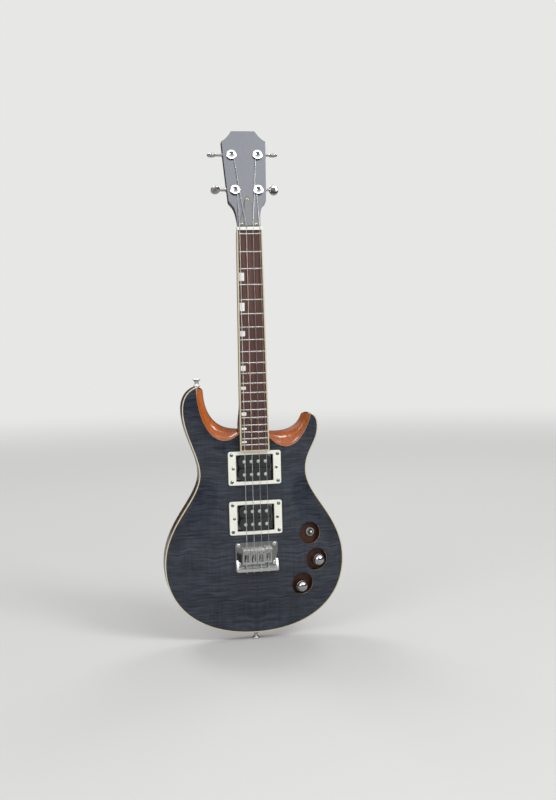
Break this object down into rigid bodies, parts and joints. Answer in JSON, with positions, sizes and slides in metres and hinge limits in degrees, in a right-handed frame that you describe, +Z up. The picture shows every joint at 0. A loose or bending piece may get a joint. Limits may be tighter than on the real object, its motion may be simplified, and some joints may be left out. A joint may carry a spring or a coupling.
{
  "type": "electric tenor ukulele",
  "caption": "Solid-body electric tenor ukulele with a carved flamed top, double cutaway, humbucking pickups, hard-tail bridge and recessed controls.",
  "frame": {"origin": "middle of the zero fret, on the plane of the fretboard's face, where a wall hanger's yoke takes the neck behind the nut", "axes": "+Z up the neck towards the headstock; +Y back into the body, so the strings face -Y; +X towards the treble side, the viewer's right from the front"},
  "size_m": [0.2562, 0.0577, 0.7095],
  "materials": {
    "body_mahogany": "high gloss, orange-brown in the cutaways, dark red-brown on the sides and back",
    "neck_mahogany": "gloss, dark red-brown",
    "top_veneer": "gloss over translucent charcoal-blue stain, fine flame across the grain",
    "head_veneer": "high gloss, charcoal-blue",
    "fretboard_wood": "oiled, red-brown, with nickel frets and pearl markers on its face",
    "binding_cream": "gloss ivory",
    "ring_cream": "semi-gloss cream",
    "nut_white": "satin white",
    "pickup_black": "satin black coils with nickel pole screws",
    "cover_black": "gloss black",
    "rear_cover_black": "satin black",
    "chrome_hardware": "mirror chrome",
    "screw_steel": "plain steel",
    "string_steel": "bright, wound on the two thicker strings"
  },
  "bodies": {
    "instrument": {"body": "body_mahogany", "body_binding": "binding_cream", "bridge_pickup": "pickup_black", "bridge_pickup_ring": "ring_cream", "bridge_plate": "chrome_hardware", "control_cavity_cover": "rear_cover_black", "fretboard": "fretboard_wood", "fretboard_binding": "binding_cream", "headstock_veneer": "head_veneer", "jack_plate": "chrome_hardware", "maple_top": "top_veneer", "neck": "neck_mahogany", "neck_pickup": "pickup_black", "neck_pickup_ring": "ring_cream", "nut": "nut_white", "output_jack": "chrome_hardware", "saddle_screw_1": "screw_steel", "saddle_screw_2": "screw_steel", "saddle_screw_3": "screw_steel", "saddle_screw_4": "screw_steel", "strap_button_lower": "chrome_hardware", "strap_button_upper": "chrome_hardware", "string_1": "string_steel", "string_2": "string_steel", "string_3": "string_steel", "string_4": "string_steel", "switch_body": "screw_steel", "switch_nut": "chrome_hardware", "tone_pot": "screw_steel", "truss_rod": "screw_steel", "truss_rod_cover": "cover_black", "tuner_bushing_lower_left": "chrome_hardware", "tuner_bushing_lower_right": "chrome_hardware", "tuner_bushing_upper_left": "chrome_hardware", "tuner_bushing_upper_right": "chrome_hardware", "tuner_housing_lower_left": "chrome_hardware", "tuner_housing_lower_right": "chrome_hardware", "tuner_housing_upper_left": "chrome_hardware", "tuner_housing_upper_right": "chrome_hardware", "volume_pot": "screw_steel"},
    "saddle_1_carriage": {"saddle_1": "chrome_hardware"},
    "saddle_2_carriage": {"saddle_2": "chrome_hardware"},
    "saddle_3_carriage": {"saddle_3": "chrome_hardware"},
    "saddle_4_carriage": {"saddle_4": "chrome_hardware"},
    "volume_control": {"volume_knob": "chrome_hardware", "volume_shaft": "screw_steel"},
    "tone_control": {"tone_knob": "chrome_hardware", "tone_shaft": "screw_steel"},
    "switch_throw": {"switch_lever": "chrome_hardware"},
    "post_lower_left": {"tuner_post_lower_left": "chrome_hardware"},
    "button_lower_left": {"tuner_button_lower_left": "chrome_hardware"},
    "post_upper_left": {"tuner_post_upper_left": "chrome_hardware"},
    "button_upper_left": {"tuner_button_upper_left": "chrome_hardware"},
    "post_upper_right": {"tuner_post_upper_right": "chrome_hardware"},
    "button_upper_right": {"tuner_button_upper_right": "chrome_hardware"},
    "post_lower_right": {"tuner_post_lower_right": "chrome_hardware"},
    "button_lower_right": {"tuner_button_lower_right": "chrome_hardware"}
  },
  "joints": [
    {"name": "saddle_1_slide", "type": "slide", "parent": "instrument", "child": "saddle_1_carriage", "axis": [0, 0, 1], "range_m": [-0.0025, 0.0015]},
    {"name": "saddle_2_slide", "type": "slide", "parent": "instrument", "child": "saddle_2_carriage", "axis": [0, 0, 1], "range_m": [-0.0025, 0.0015]},
    {"name": "saddle_3_slide", "type": "slide", "parent": "instrument", "child": "saddle_3_carriage", "axis": [0, 0, 1], "range_m": [-0.0025, 0.0015]},
    {"name": "saddle_4_slide", "type": "slide", "parent": "instrument", "child": "saddle_4_carriage", "axis": [0, 0, 1], "range_m": [-0.0025, 0.0015]},
    {"name": "volume_turn", "type": "hinge", "parent": "instrument", "child": "volume_control", "pos_m": [0.08789, 0.0236, -0.45591], "axis": [0.1831, -0.9831, 0.0006], "range_deg": [-150, 150]},
    {"name": "tone_turn", "type": "hinge", "parent": "instrument", "child": "tone_control", "pos_m": [0.06306, 0.02159, -0.49037], "axis": [0.1405, -0.982, -0.1265], "range_deg": [-150, 150]},
    {"name": "switch_tilt", "type": "hinge", "parent": "instrument", "child": "switch_throw", "pos_m": [0.07776, 0.0289, -0.41722], "axis": [0.9802, 0.1982, -0.0051], "range_deg": [-8, 8]},
    {"name": "button_lower_left_turn", "type": "hinge", "parent": "instrument", "child": "button_lower_left", "pos_m": [-0.0341, 0.03268, 0.06269], "axis": [-1, 0, 0], "continuous": true},
    {"name": "post_lower_left_turn", "type": "hinge", "parent": "instrument", "child": "post_lower_left", "pos_m": [-0.016, 0.02535, 0.05813], "axis": [0, -0.9703, 0.2419], "continuous": true},
    {"name": "button_upper_left_turn", "type": "hinge", "parent": "instrument", "child": "button_upper_left", "pos_m": [-0.0363, 0.04497, 0.11198], "axis": [-1, 0, 0], "continuous": true},
    {"name": "post_upper_left_turn", "type": "hinge", "parent": "instrument", "child": "post_upper_left", "pos_m": [-0.0182, 0.03764, 0.10742], "axis": [0, -0.9703, 0.2419], "continuous": true},
    {"name": "button_upper_right_turn", "type": "hinge", "parent": "instrument", "child": "button_upper_right", "pos_m": [0.0363, 0.04497, 0.11198], "axis": [1, 0, 0], "continuous": true},
    {"name": "post_upper_right_turn", "type": "hinge", "parent": "instrument", "child": "post_upper_right", "pos_m": [0.0182, 0.03764, 0.10742], "axis": [0, -0.9703, 0.2419], "continuous": true},
    {"name": "button_lower_right_turn", "type": "hinge", "parent": "instrument", "child": "button_lower_right", "pos_m": [0.0341, 0.03268, 0.06269], "axis": [1, 0, 0], "continuous": true},
    {"name": "post_lower_right_turn", "type": "hinge", "parent": "instrument", "child": "post_lower_right", "pos_m": [0.016, 0.02535, 0.05813], "axis": [0, -0.9703, 0.2419], "continuous": true}
  ],
  "couplings": [
    {"joint": "post_lower_left_turn", "follows": "button_lower_left_turn", "ratio": -0.0625},
    {"joint": "post_upper_left_turn", "follows": "button_upper_left_turn", "ratio": -0.0625},
    {"joint": "post_upper_right_turn", "follows": "button_upper_right_turn", "ratio": 0.0625},
    {"joint": "post_lower_right_turn", "follows": "button_lower_right_turn", "ratio": 0.0625}
  ]
}
